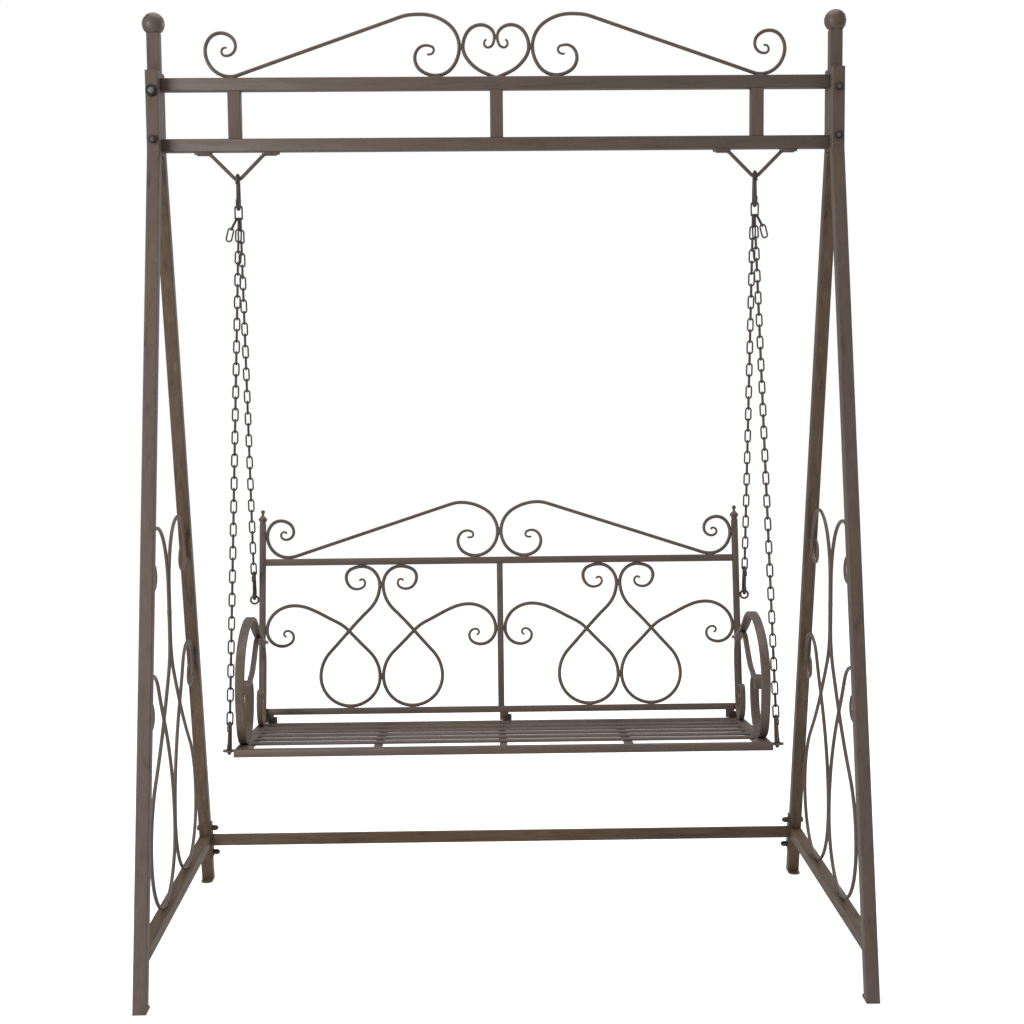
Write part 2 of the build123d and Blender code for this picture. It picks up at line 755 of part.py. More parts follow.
@dataclass(frozen=True)
class Chain:
    """One of the four chains, from its joining link down to its eye."""

    side: int
    rear: bool

    @property
    def top(self):
        inward = CHAIN_SIDE_STEP if self.rear else 0.0
        return Vector(self.side * (HANGER_X - inward), 0, CHAIN_TOP_Z)

    @property
    def run(self):
        return self.top - chain_end(self.side, self.rear)

    @property
    def frame(self):
        """On the joining link's lower wire, z up the chain, x to the rear."""
        up = self.run.normalized()
        rear = Vector(0, 1, 0)
        rear = (rear - up * rear.dot(up)).normalized()
        return Plane(origin=self.top, x_dir=rear, z_dir=up).location

    @property
    def links_length(self):
        """Length that the links have to fill between the joining link and the lower hook."""
        eye = REAR_EYE_WIRE / 2 if self.rear else FRONT_EYE_REACH
        hook = LOW_HOOK - LOW_HOOK_WIRE - (LOW_HOOK_WIRE + CHAIN_WIRE) / 2 - CHAIN_GAP
        return self.run.length - hook + LOW_HOOK_WIRE / 2 + eye + CHAIN_GAP

    @property
    def count(self):
        return 2 * round(self.links_length / CHAIN_PITCH / 2)

    @property
    def hook_frame(self):
        """Place of the lower hook, the centre of its narrow bow as the origin."""
        overlap = (LOW_HOOK_WIRE + CHAIN_WIRE) / 2 + CHAIN_GAP
        return self.frame * Pos(0, 0, overlap - self.links_length - LOW_SNAP.narrow)

    def links(self):
        pitch = self.links_length / self.count
        grip = CHAIN_WIRE + CHAIN_GAP
        one = link(pitch + CHAIN_WIRE + grip, CHAIN_WIDTH, CHAIN_WIRE)
        return [
            self.frame * Pos(0, 0, grip - i * pitch) * Rot(0, 0, 90 * (i % 2)) * one
            for i in range(self.count)
        ]


def joining_link(side):
    shape = link(JOINING_LINK_LENGTH, JOINING_LINK_WIDTH, CHAIN_WIRE, JOINING_CORNER)
    return Pos(side * HANGER_X, 0, joining_link_z()) * shape


def tail_links(side):
    """Two spare links that hang from the outer lower corner of the joining link."""
    grip = CHAIN_WIRE + CHAIN_GAP
    length = CHAIN_PITCH + CHAIN_WIRE + grip
    corner_x = (JOINING_LINK_WIDTH - CHAIN_WIRE) / 2 - JOINING_CORNER
    lean = radians(TAIL_TILT)
    x = corner_x + (JOINING_CORNER - grip) * sin(lean)
    z = CHAIN_TOP_Z + JOINING_CORNER - (JOINING_CORNER - grip) * cos(lean)
    one = link(length, CHAIN_WIDTH, CHAIN_WIRE)
    span = length - CHAIN_WIRE
    end_lean = radians(TAIL_END_TILT)
    end_x = x + span * sin(lean) - grip * sin(end_lean)
    end_z = z - span * cos(lean) + grip * cos(end_lean)
    return [
        Pos(side * (HANGER_X + x), 0, z) * Rot(0, -side * TAIL_TILT, 0) * Rot(0, 0, 90) * one,
        Pos(side * (HANGER_X + end_x), 0, end_z) * Rot(0, -side * TAIL_END_TILT, 0) * one,
    ]


def chain_eye(side, rear):
    if rear:
        shape = Torus(REAR_EYE_RADIUS, REAR_EYE_WIRE / 2)
        foot = Pos(-side * REAR_EYE_RADIUS, 0, 0) * Box(REAR_EYE_WIRE, EYE_FOOT, REAR_EYE_WIRE)
        return back_frame() * Pos(side * REAR_EYE_X, REAR_EYE, 0) * (shape + foot)
    foot = Rectangle(FRONT_EYE_FOOT, 2 * EYE_FOOT)
    outline = Circle(FRONT_EYE / 2) + Pos(-side * (FRONT_EYE - FRONT_EYE_FOOT) / 2, 0) * foot
    outline -= Circle(FRONT_EYE_HOLE / 2)
    shape = extrude(outline, amount=FRONT_EYE_THICKNESS / 2, both=True)
    return seat_frame() * Pos(side * FRONT_EYE_X, FRONT_EYE_Y, FRONT_EYE_Z) * shape


# Seat

def seat_shell():
    """The four mitred rails of the seat as one hollow ring, its top on Z = 0 of the seat frame."""
    def ring_box(width, depth, inner, height):
        ring_shape = Box(width, depth, height) - Box(width - 2 * inner, depth - 2 * inner, height)
        return Pos(0, SEAT_DEPTH / 2, -SEAT_RAIL_HEIGHT / 2) * ring_shape

    wall = SEAT_RAIL_WALL
    outer = ring_box(2 * SEAT_HALF_WIDTH, SEAT_DEPTH, SEAT_RAIL_WIDTH, SEAT_RAIL_HEIGHT)
    bore = ring_box(
        2 * (SEAT_HALF_WIDTH - wall),
        SEAT_DEPTH - 2 * wall,
        SEAT_RAIL_WIDTH - 2 * wall,
        SEAT_RAIL_HEIGHT - 2 * wall,
    )
    return outer - bore


def seat_rail(name):
    w, d, b = SEAT_HALF_WIDTH, SEAT_DEPTH, SEAT_RAIL_WIDTH
    corners = {
        "front": [(-w, 0), (w, 0), (w - b, b), (-w + b, b)],
        "rear": [(-w, d), (w, d), (w - b, d - b), (-w + b, d - b)],
        "left": [(-w, 0), (-w, d), (-w + b, d - b), (-w + b, b)],
        "right": [(w, 0), (w, d), (w - b, d - b), (w - b, b)],
    }[name]
    part = extrude(make_face(Polyline(*corners, close=True)), amount=SEAT_RAIL_HEIGHT, both=True)
    return seat_frame() * (seat_shell() & part)


def seat_slats():
    length = 2 * (SEAT_HALF_WIDTH - SEAT_RAIL_WIDTH)
    slat = Box(length, SLAT_WIDTH, SLAT_THICKNESS, align=(Align.CENTER, Align.MIN, Align.MAX))
    rows = [FIRST_SLAT + i * SLAT_PITCH for i in range(SLAT_COUNT)]
    return [seat_frame() * Pos(0, y, 0) * slat for y in rows]


def seat_cross_bars():
    length = SEAT_DEPTH - 2 * SEAT_RAIL_WIDTH
    height = SEAT_RAIL_HEIGHT - SLAT_THICKNESS
    bar = Box(CROSS_BAR, length, height, align=(Align.CENTER, Align.MIN, Align.MAX))
    return [
        seat_frame() * Pos(x, SEAT_RAIL_WIDTH, -SLAT_THICKNESS) * bar
        for x in (-CROSS_BAR_X, 0, CROSS_BAR_X)
    ]


# Back

def back_tube(length, size):
    """Square tube along Y from the origin, closed by its end walls."""
    outer = Box(size, length, size, align=(Align.CENTER, Align.MIN, Align.CENTER))
    bore = Box(size - 2 * BACK_WALL, length - 2 * BACK_WALL, size - 2 * BACK_WALL)
    return outer - Pos(0, length / 2, 0) * bore


def back_post(side):
    low = -BACK_RAIL / 2
    tube = back_tube(BACK_POST_TOP - low, BACK_POST)
    return back_frame() * Pos(side * BACK_POST_X, low, 0) * tube


def back_post_finial(side):
    """Turned knob on a back post: a bell, a neck and a small ball."""
    bell = Spline(*KNOB_BELL, tangents=[(1, 0), (0, 1)])
    neck_top = (KNOB_NECK / 2, KNOB_BALL_Z)
    outline = [Line((0, 0), KNOB_BELL[0]), bell, Line(KNOB_BELL[-1], neck_top)]
    outline += [Line(neck_top, (0, KNOB_BALL_Z)), Line((0, KNOB_BALL_Z), (0, 0))]
    turned = revolve(Plane.XZ * make_face(outline), axis=Axis.Z)
    knob = Rot(-90, 0, 0) * (turned + Pos(0, 0, KNOB_BALL_Z) * Sphere(KNOB_BALL / 2))
    return back_frame() * Pos(side * BACK_POST_X, BACK_POST_TOP, 0) * knob


def back_rail(s):
    length = 2 * BACK_POST_X - BACK_POST
    tube = Pos(-length / 2, 0, 0) * Rot(0, 0, -90) * back_tube(length, BACK_RAIL)
    return back_frame() * Pos(0, s, 0) * tube


def back_stile():
    return back_frame() * Pos(0, BACK_RAIL / 2, 0) * back_tube(BACK_TOP - BACK_RAIL, BACK_POST)


def back_crest(side):
    return back_frame() * scroll(BACK_CREST if side > 0 else mirrored(BACK_CREST))


def back_panel_scrolls(side):
    pair = [
        loop_scroll(BACK_PANEL_UPPER, BACK_PANEL_LOWER),
        loop_scroll(mirrored(BACK_PANEL_UPPER), mirrored(BACK_PANEL_LOWER)),
    ]
    return [back_frame() * Pos(side * BACK_BAY, 0, 0) * shape for shape in pair]


# Arms, with knots in the plane of the seat frame's y and z

def on_seat_plane(x, s, z):
    """Point of the back frame as y and z of the seat frame."""
    point = placed(seat_frame().inverse() * back_frame(), x, s, z)
    return point.Y, point.Z


def arm_knots():
    return [
        (*on_seat_plane(0, ARM_BACK_END, 0), 174.7),
        (*ARM_MEETING, ARM_HEADING),
        (180.6, 257.6, 184.7),
        (15.8, 110.6, 274.7),
        (88.8, ARM_BAR / 2, 0),
        (*ARM_CURL, 90 + SEAT_TILT),
        (136.2, 126.1, 184.7),
        (112.5, 100.7, 274.7),
    ]


def arm_scroll_knots():
    away = (ARM_BAR + ARM_SCROLL_BAR) / 2
    front, under = radians(SEAT_TILT), radians(ARM_HEADING)
    down = 270 - BACK_RECLINE + SEAT_TILT
    x, z = ARM_CURL
    beside_post = [on_seat_plane(0, s, (BACK_POST + ARM_SCROLL_BAR) / 2) for s in ARM_SCROLL_ON_POST]
    return [
        (x + away * cos(front), z + away * sin(front), 90 + SEAT_TILT),
        (239.9, 153.4, 39.7),
        (ARM_MEETING[0] - away * sin(under), ARM_MEETING[1] + away * cos(under), ARM_HEADING - 180),
        *((*point, down) for point in beside_post),
        (376.1, ARM_SCROLL_BAR / 2, 180),
        (333.2, 43.4, 94.7),
        (350.4, 82.9, 4.7),
        (367.2, 65.1, 270),
        (355.4, 53.3, 190),
    ]


def arm(side):
    shape = Plane.YZ.location * flat_bar(arm_knots(), ARM_BAR, ARM_WIDTH, ARM_ROUNDING)
    shape = seat_frame() * Pos(side * ARM_X, 0, 0) * shape
    behind = Box(2 * POST_X, HEIGHT, BEYOND, align=(Align.CENTER, Align.CENTER, Align.MAX))
    return shape - back_frame() * Pos(0, 0, BACK_POST / 2) * behind


def arm_scroll(side):
    shape = flat_bar(arm_scroll_knots(), ARM_SCROLL_BAR, ARM_SCROLL_WIDTH)
    return seat_frame() * Pos(side * ARM_X, 0, 0) * Plane.YZ.location * shape


# Brackets between seat and back

def back_lug(x):
    """Plate under the back's bottom rail, on the rear edge of the seat."""
    plate = Box(LUG_WIDTH, LUG, BEYOND, align=(Align.CENTER, Align.MAX, Align.MIN))
    plate = seat_frame() * Pos(x - LUG_SHIFT, SEAT_DEPTH, LUG_GAP) * plate
    above = Box(2 * POST_X, HEIGHT, BEYOND, align=(Align.CENTER, Align.MIN, Align.CENTER))
    plate -= back_frame() * Pos(0, -BACK_RAIL / 2, 0) * above
    return plate - lug_hole(x)


def seat_lug(x):
    """Plate on the rear face of the seat, bolted to the back's plate."""
    height = SEAT_RAIL_HEIGHT + LUG_BOLT_Z + LUG_HEAD[0] / 2
    plate = Box(LUG_WIDTH, LUG, height, align=(Align.CENTER, Align.MIN, Align.MIN))
    plate = seat_frame() * Pos(x + LUG_SHIFT, SEAT_DEPTH, -SEAT_RAIL_HEIGHT) * plate
    return plate - lug_hole(x)


def lug_frame(x):
    return seat_frame() * Pos(x, SEAT_DEPTH, LUG_BOLT_Z) * Rot(-90, 0, 0)


def lug_hole(x):
    return lug_frame(x) * Cylinder(LUG_BOLT / 2 + BOLT_CLEARANCE, BEYOND)


def lug_bolt(x):
    return lug_frame(x) * Pos(0, 0, -LUG) * bolt(LUG_BOLT, 2 * LUG + LUG_BOLT_TAIL, LUG_HEAD)


def lug_nut(x):
    return lug_frame(x) * Pos(0, 0, LUG) * nut(LUG_BOLT, LUG_NUT)


# Every piece by name

ENDS = {"left": -1, "right": 1}
DEPTHS = {"front": -1, "rear": 1}


def pieces():
    yield "ball_finials", [ball_finial(s) for s in ENDS.values()]
    yield "foot_plates", [foot_plate(s, e) for s in ENDS.values() for e in DEPTHS.values()]
    yield "upper_beam", beam(UPPER_BEAM_Z)
    yield "lower_beam", beam(LOWER_BEAM_Z)
    yield "beam_spacers", [beam_spacer(x) for x in (-SPACER_X, 0, SPACER_X)]
    yield "heart_scrolls", [heart_half(s) for s in ENDS.values()]
    yield "chain_hangers", [hanger(s) for s in ENDS.values()]
    yield "rear_stretcher", stretcher()
    yield "stretcher_flanges", [stretcher_flange(s) for s in ENDS.values()]
    spots = [(s, spot) for s in ENDS.values() for spot in flange_bolt_spots()]
    yield "stretcher_bolts", [
        make(s, spot) for s, spot in spots for make in (stretcher_bolt, stretcher_cap_nut)
    ]
    places = [(s, z) for s in ENDS.values() for z in POST_BOLT_Z]
    yield "post_bolts", [
        solid for s, z in places for solid in (post_bolt(s, z), *post_washers(s, z), post_nut(s, z))
    ]
    for name, s in ENDS.items():
        for depth, e in DEPTHS.items():
            yield f"{name}_{depth}_leg", leg(s, e)
            yield f"{name}_{depth}_side_scroll", side_scroll(s, e)
        yield f"{name}_lower_rail", lower_rail(s)
        yield f"{name}_post", post(s)
        yield f"{name}_crest_scroll", crest_scroll(CREST, s)

    for name in ("front", "rear", "left", "right"):
        yield f"seat_{name}_rail", seat_rail(name)
    yield "seat_slats", seat_slats()
    yield "seat_cross_bars", seat_cross_bars()
    yield "back_top_rail", back_rail(BACK_TOP)
    yield "back_bottom_rail", back_rail(0)
    yield "back_centre_stile", back_stile()
    yield "back_post_finials", [back_post_finial(s) for s in ENDS.values()]
    yield "back_lugs", [back_lug(x) for x in LUG_X]
    yield "seat_lugs", [seat_lug(x) for x in LUG_X]
    yield "lug_bolts", [lug_bolt(x) for x in LUG_X] + [lug_nut(x) for x in LUG_X]
    yield "chain_eyes", [chain_eye(s, rear) for s in ENDS.values() for rear in (False, True)]
    chains = [Chain(s, rear) for s in ENDS.values() for rear in (False, True)]
    hooks = [top_hook_frame(s) * TOP_SNAP.body() for s in ENDS.values()]
    hooks += [chain.hook_frame * LOW_SNAP.body() for chain in chains]
    yield "snap_hooks", hooks
    for name, s in ENDS.items():
        yield f"{name}_back_post", back_post(s)
        yield f"{name}_back_crest", back_crest(s)
        yield f"{name}_back_scrolls", back_panel_scrolls(s)
        yield f"{name}_arm", arm(s)
        yield f"{name}_arm_scroll", arm_scroll(s)
        yield f"{name}_top_hook_gate", top_hook_frame(s) * TOP_SNAP.gate()
        for depth, rear in (("front", False), ("rear", True)):
            chain = Chain(s, rear)
            extra = [] if rear else [joining_link(s), *tail_links(s)]
            yield f"{name}_{depth}_chain", chain.links() + extra
            yield f"{name}_{depth}_hook_gate", chain.hook_frame * LOW_SNAP.gate()


if __name__ == "__main__":
    os.makedirs("parts", exist_ok=True)
    for node, shape in pieces():
        solids = shape if isinstance(shape, list) else [shape]
        group = Compound(children=[solid for item in solids for solid in item.solids()])
        group.label = node
        export_step(group, f"parts/{node}.step")
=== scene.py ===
"""Looks of a wrought iron garden swing: antique paint, plated chain, welds and studio."""

import logging
import math
from dataclasses import dataclass
from enum import Enum

import bmesh
import bpy
from mathutils import Matrix, Vector


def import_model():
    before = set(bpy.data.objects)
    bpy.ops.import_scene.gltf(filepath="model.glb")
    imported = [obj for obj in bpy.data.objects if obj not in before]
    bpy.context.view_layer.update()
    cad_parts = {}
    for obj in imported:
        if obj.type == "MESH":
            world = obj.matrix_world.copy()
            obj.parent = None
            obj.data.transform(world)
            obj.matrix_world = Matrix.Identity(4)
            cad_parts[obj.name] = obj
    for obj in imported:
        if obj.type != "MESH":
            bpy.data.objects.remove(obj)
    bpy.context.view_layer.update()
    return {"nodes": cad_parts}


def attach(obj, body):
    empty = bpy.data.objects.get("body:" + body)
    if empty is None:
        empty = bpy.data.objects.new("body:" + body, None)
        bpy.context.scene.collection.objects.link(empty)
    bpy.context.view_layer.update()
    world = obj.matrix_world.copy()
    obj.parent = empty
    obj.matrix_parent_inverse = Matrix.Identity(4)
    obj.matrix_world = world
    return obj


LOG = logging.getLogger("garden_swing")
MM = 0.001
Colour = tuple[float, float, float]

# Places on the stand and the swing that scene pieces follow, in millimetres
SIDES = (-1, 1)
POST_X = 738.0
POST_BOLT_FACE_Y = -43.6
POST_BOLT_Z = (1879.0, 1776.0)
ARM_BOLT_X = 559.8
ARM_BOLT_UP_BACK = 160.0

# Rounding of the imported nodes' edges
MERGE_DISTANCE = 0.01 * MM
SHARP_ANGLE = 35.0


class Grain(Enum):
    """Direction in which the paint was brushed, as the stretch of its pattern in X, Y and Z."""

    UPRIGHT = (1.0, 1.0, 0.12)
    ACROSS = (0.12, 1.0, 1.0)
    DEPTH = (1.0, 0.12, 1.0)
    BLOTCHED = (1.0, 1.0, 1.0)


def linear(red: int, green: int, blue: int) -> Colour:
    """Turn an 8-bit screen colour into scene light values.

    Args:
        red: Red from 0 to 255.
        green: Green from 0 to 255.
        blue: Blue from 0 to 255.

    Returns:
        The three values as the shader takes them.
    """
    values = [channel / 255 for channel in (red, green, blue)]
    return tuple(v / 12.92 if v <= 0.04045 else ((v + 0.055) / 1.055) ** 2.4 for v in values)


class NodeTree:
    """Short way to add and join the nodes of one material or group."""

    def __init__(self, tree: bpy.types.NodeTree) -> None:
        """Wrap a node tree."""
        self.tree = tree

    def add(self, kind: str, **settings: object) -> bpy.types.Node:
        """Add a node.

        Args:
            kind: The node's type name.
            settings: Properties of the node and, under inputs, values of its sockets.

        Returns:
            The new node.
        """
        node = self.tree.nodes.new(kind)
        inputs = settings.pop("inputs", {})
        for name, value in settings.items():
            setattr(node, name, value)
        for name, value in inputs.items():
            socket = node.inputs[name]
            if isinstance(value, bpy.types.NodeSocket):
                self.tree.links.new(value, socket)
            else:
                socket.default_value = value
        return node

    def mix(self, factor: object, first: object, second: object) -> bpy.types.NodeSocket:
        """Blend two colours.

        Args:
            factor: Share of the second colour, a number or a socket.
            first: First colour, as four values or a socket.
            second: Second colour, as four values or a socket.

        Returns:
            The blended colour's socket.
        """
        node = self.add("ShaderNodeMix", data_type="RGBA")
        for index, value in ((0, factor), (6, first), (7, second)):
            if isinstance(value, bpy.types.NodeSocket):
                self.tree.links.new(value, node.inputs[index])
            else:
                node.inputs[index].default_value = value
        return node.outputs[2]

    def ramp(self, value: bpy.types.NodeSocket, low: float, high: float) -> bpy.types.NodeSocket:
        """Stretch a value between two limits to run from 0 to 1.

        Args:
            value: The socket to read.
            low: Value that becomes 0.
            high: Value that becomes 1.

        Returns:
            The stretched value's socket.
        """
        inputs = {"Value": value, "From Min": low, "From Max": high}
        return self.add("ShaderNodeMapRange", inputs=inputs).outputs["Result"]

    def math(self, operation: str, first: object, second: object = 0.0) -> bpy.types.NodeSocket:
        """Combine two values.

        Args:
            operation: Name of the operation.
            first: First value, a number or a socket.
            second: Second value, a number or a socket.

        Returns:
            The result's socket.
        """
        node = self.add("ShaderNodeMath", operation=operation)
        for index, value in ((0, first), (1, second)):
            if isinstance(value, bpy.types.NodeSocket):
                self.tree.links.new(value, node.inputs[index])
            else:
                node.inputs[index].default_value = value
        return node.outputs[0]


def new_group(name: str, inputs: dict[str, object], outputs: dict[str, str]) -> bpy.types.NodeTree:
    """Start a shader node group with named sockets.

    Args:
        name: Name of the group.
        inputs: Default value of each input by name: a number, or four values for a colour.
        outputs: Socket type of each output by name.

    Returns:
        The group, with its input and output nodes in place.
    """
    group = bpy.data.node_groups.new(name, "ShaderNodeTree")
    for label, value in inputs.items():
        kind = "NodeSocketFloat"
        if label == "Vector":
            kind = "NodeSocketVector"
        elif isinstance(value, tuple):
            kind = "NodeSocketColor"
        socket = group.interface.new_socket(label, in_out="INPUT", socket_type=kind)
        if kind != "NodeSocketVector":
            socket.default_value = value
    for label, kind in outputs.items():
        group.interface.new_socket(label, in_out="OUTPUT", socket_type=kind)
    group.nodes.new("NodeGroupInput")
    group.nodes.new("NodeGroupOutput")
    return group


class PaintEffects:
    """The node groups that the painted and plated finishes share."""

    streak_scale = 95.0
    cloud_scale = 17.0
    speck_scale = 420.0
    edge_noise_scale = 130.0
    fleck_share = 0.45
    roughness_swing = 0.16
    edge_turn = (0.995, 0.86)

    def __init__(self) -> None:
        """Build each group once."""
        self.brushing = self.build_brushing()
        self.edges = self.build_edges()

    def build_brushing(self) -> bpy.types.NodeTree:
        """Build the brushed coat: streaks, cloudy patches and specks.

        Returns:
            A group that puts out a colour, a roughness and a height.
        """
        inputs = {
            "Vector": None,
            "Ground": (0.1, 0.08, 0.07, 1.0),
            "Streak": (0.05, 0.04, 0.035, 1.0),
            "Bloom": (0.2, 0.17, 0.15, 1.0),
            "Streak Share": 0.5,
            "Bloom Share": 0.5,
            "Roughness": 0.5,
        }
        outputs = {
            "Color": "NodeSocketColor",
            "Roughness": "NodeSocketFloat",
            "Height": "NodeSocketFloat",
        }
        group = new_group("brushed_coat", inputs, outputs)
        tree = NodeTree(group)
        given = group.nodes["Group Input"].outputs
        streaks = tree.add(
            "ShaderNodeTexNoise",
            inputs={
                "Vector": given["Vector"],
                "Scale": self.streak_scale,
                "Detail": 5.0,
                "Roughness": 0.62,
            },
        ).outputs["Fac"]
        clouds = tree.add(
            "ShaderNodeTexNoise",
            inputs={
                "Vector": given["Vector"],
                "Scale": self.cloud_scale,
                "Detail": 3.0,
                "Roughness": 0.55,
            },
        ).outputs["Fac"]
        specks = tree.add(
            "ShaderNodeTexNoise",
            inputs={
                "Vector": given["Vector"],
                "Scale": self.speck_scale,
                "Detail": 2.0,
                "Roughness": 0.6,
            },
        ).outputs["Fac"]
        dark = tree.math("MULTIPLY", tree.ramp(streaks, 0.52, 0.7), tree.ramp(clouds, 0.4, 0.62))
        dark = tree.math("MULTIPLY", dark, given["Streak Share"])
        pale = tree.math("MULTIPLY", tree.ramp(clouds, 0.62, 0.38), tree.ramp(streaks, 0.55, 0.35))
        pale = tree.math("MULTIPLY", pale, given["Bloom Share"])
        colour = tree.mix(pale, given["Ground"], given["Bloom"])
        colour = tree.mix(dark, colour, given["Streak"])
        fleck = tree.math("MULTIPLY", tree.ramp(specks, 0.62, 0.78), self.fleck_share)
        colour = tree.mix(fleck, colour, given["Streak"])
        swing = tree.math("MULTIPLY", streaks, self.roughness_swing)
        rough = tree.math("ADD", given["Roughness"], swing)
        rough = tree.math("SUBTRACT", rough, self.roughness_swing / 2)
        height = tree.math("MULTIPLY", specks, 0.4)
        height = tree.math("ADD", tree.math("MULTIPLY", streaks, 0.6), height)
        result = group.nodes["Group Output"].inputs
        group.links.new(colour, result["Color"])
        group.links.new(rough, result["Roughness"])
        group.links.new(height, result["Height"])
        return group

    def build_edges(self) -> bpy.types.NodeTree:
        """Build the edge mask, 1 on corners and fading off, broken up: painted shade along the
        edges of painted iron, rubbed wear on the metal and rubber finishes.

        Returns:
            A group that puts out the mask.
        """
        group = new_group(
            "worn_and_shaded_edges",
            {"Vector": None, "Radius": 0.0015, "Amount": 1.0},
            {"Mask": "NodeSocketFloat"},
        )
        tree = NodeTree(group)
        given = group.nodes["Group Input"].outputs
        rounded = tree.add("ShaderNodeBevel", samples=6, inputs={"Radius": given["Radius"]})
        plain = tree.add("ShaderNodeNewGeometry").outputs["Normal"]
        alike = tree.add("ShaderNodeVectorMath", operation="DOT_PRODUCT")
        group.links.new(rounded.outputs[0], alike.inputs[0])
        group.links.new(plain, alike.inputs[1])
        edge = tree.ramp(alike.outputs["Value"], *self.edge_turn)
        broken = tree.add(
            "ShaderNodeTexNoise",
            inputs={"Vector": given["Vector"], "Scale": self.edge_noise_scale, "Detail": 3.0},
        ).outputs["Fac"]
        mask = tree.math("MULTIPLY", edge, tree.ramp(broken, 0.3, 0.62))
        mask = tree.math("MULTIPLY", mask, given["Amount"])
        group.links.new(mask, group.nodes["Group Output"].inputs["Mask"])
        return group


@dataclass(frozen=True)
class Coat:
    """A brushed finish on iron or plated steel, with an edge colour: painted shade on the iron
    paints, rubbed wear on the other finishes.
    """

    name: str
    ground: Colour
    streak: Colour
    bloom: Colour
    # Edge colour: painted shade on the iron paints, rubbed wear on the metal and rubber finishes
    edge_wear_and_shade: Colour
    grain: Grain = Grain.BLOTCHED
    streak_share: float = 0.6
    bloom_share: float = 0.5
    roughness: float = 0.5
    metallic: float = 0.0
    rubbed_metallic: float = 0.0
    # Strength and width of the edge colour, which is painted shade on the iron paints
    wear: float = 0.85
    wear_radius: float = 0.0022
    relief: float = 0.12

    def material(self, effects: PaintEffects) -> bpy.types.Material:
        """Make the finish as a material.

        Args:
            effects: The shared node groups.

        Returns:
            The material.
        """
        made = bpy.data.materials.new(self.name)
        made.use_nodes = True
        made.diffuse_color = (*self.ground, 1.0)
        tree = NodeTree(made.node_tree)
        shader = made.node_tree.nodes["Principled BSDF"]
        place = tree.add("ShaderNodeTexCoord").outputs["Object"]
        stretch = tree.add(
            "ShaderNodeMapping", inputs={"Vector": place, "Scale": self.grain.value}
        )
        vector = stretch.outputs["Vector"]
        coat = tree.add("ShaderNodeGroup", node_tree=effects.brushing)
        made.node_tree.links.new(vector, coat.inputs["Vector"])
        coat.inputs["Ground"].default_value = (*self.ground, 1.0)
        coat.inputs["Streak"].default_value = (*self.streak, 1.0)
        coat.inputs["Bloom"].default_value = (*self.bloom, 1.0)
        coat.inputs["Streak Share"].default_value = self.streak_share
        coat.inputs["Bloom Share"].default_value = self.bloom_share
        coat.inputs["Roughness"].default_value = self.roughness
        edges = tree.add("ShaderNodeGroup", node_tree=effects.edges)
        made.node_tree.links.new(place, edges.inputs["Vector"])
        edges.inputs["Radius"].default_value = self.wear_radius
        edges.inputs["Amount"].default_value = self.wear
        mask = edges.outputs["Mask"]
        # Edge colour over the coat: painted shade on the iron paints, rubbed wear on the other
        # finishes
        colour = tree.mix(mask, coat.outputs["Color"], (*self.edge_wear_and_shade, 1.0))
        bump = tree.add(
            "ShaderNodeBump",
            inputs={"Height": coat.outputs["Height"], "Strength": self.relief, "Distance": 0.0006},
        )
        links = made.node_tree.links
        links.new(colour, shader.inputs["Base Color"])
        links.new(coat.outputs["Roughness"], shader.inputs["Roughness"])
        links.new(bump.outputs["Normal"], shader.inputs["Normal"])
        if self.rubbed_metallic != self.metallic:
            metal = tree.add(
                "ShaderNodeMapRange",
                inputs={"Value": mask, "To Min": self.metallic, "To Max": self.rubbed_metallic},
            )
            links.new(metal.outputs["Result"], shader.inputs["Metallic"])
        else:
            shader.inputs["Metallic"].default_value = self.metallic
        return made


IRON_GROUND = linear(100, 84, 75)
IRON_STREAK = linear(57, 45, 38)
IRON_BLOOM = linear(114, 101, 91)
# Dark edge colour of the iron paints: painted shade along every edge
IRON_EDGE_SHADE = linear(55, 42, 34)


def iron_coat(name: str, grain: Grain, **changes: object) -> Coat:
    """Give the antique iron paint, brushed in one direction, with painted shade along its edges.

    Args:
        name: Name of the finish.
        grain: Direction of the brushing.
        changes: Other values of the coat.

    Returns:
        The finish.
    """
    return Coat(name, IRON_GROUND, IRON_STREAK, IRON_BLOOM, IRON_EDGE_SHADE, grain, **changes)


def brown_coat(name: str, grain: Grain) -> Coat:
    """Give the browner, more weathered paint of the low pieces, with painted shade along its
    edges.

    Args:
        name: Name of the finish.
        grain: Direction of the brushing.

    Returns:
        The finish.
    """
    ground, streak, bloom = linear(94, 74, 56), linear(50, 37, 27), linear(116, 97, 76)
    return Coat(name, ground, streak, bloom, IRON_EDGE_SHADE, grain, streak_share=0.85, bloom_share=0.8)


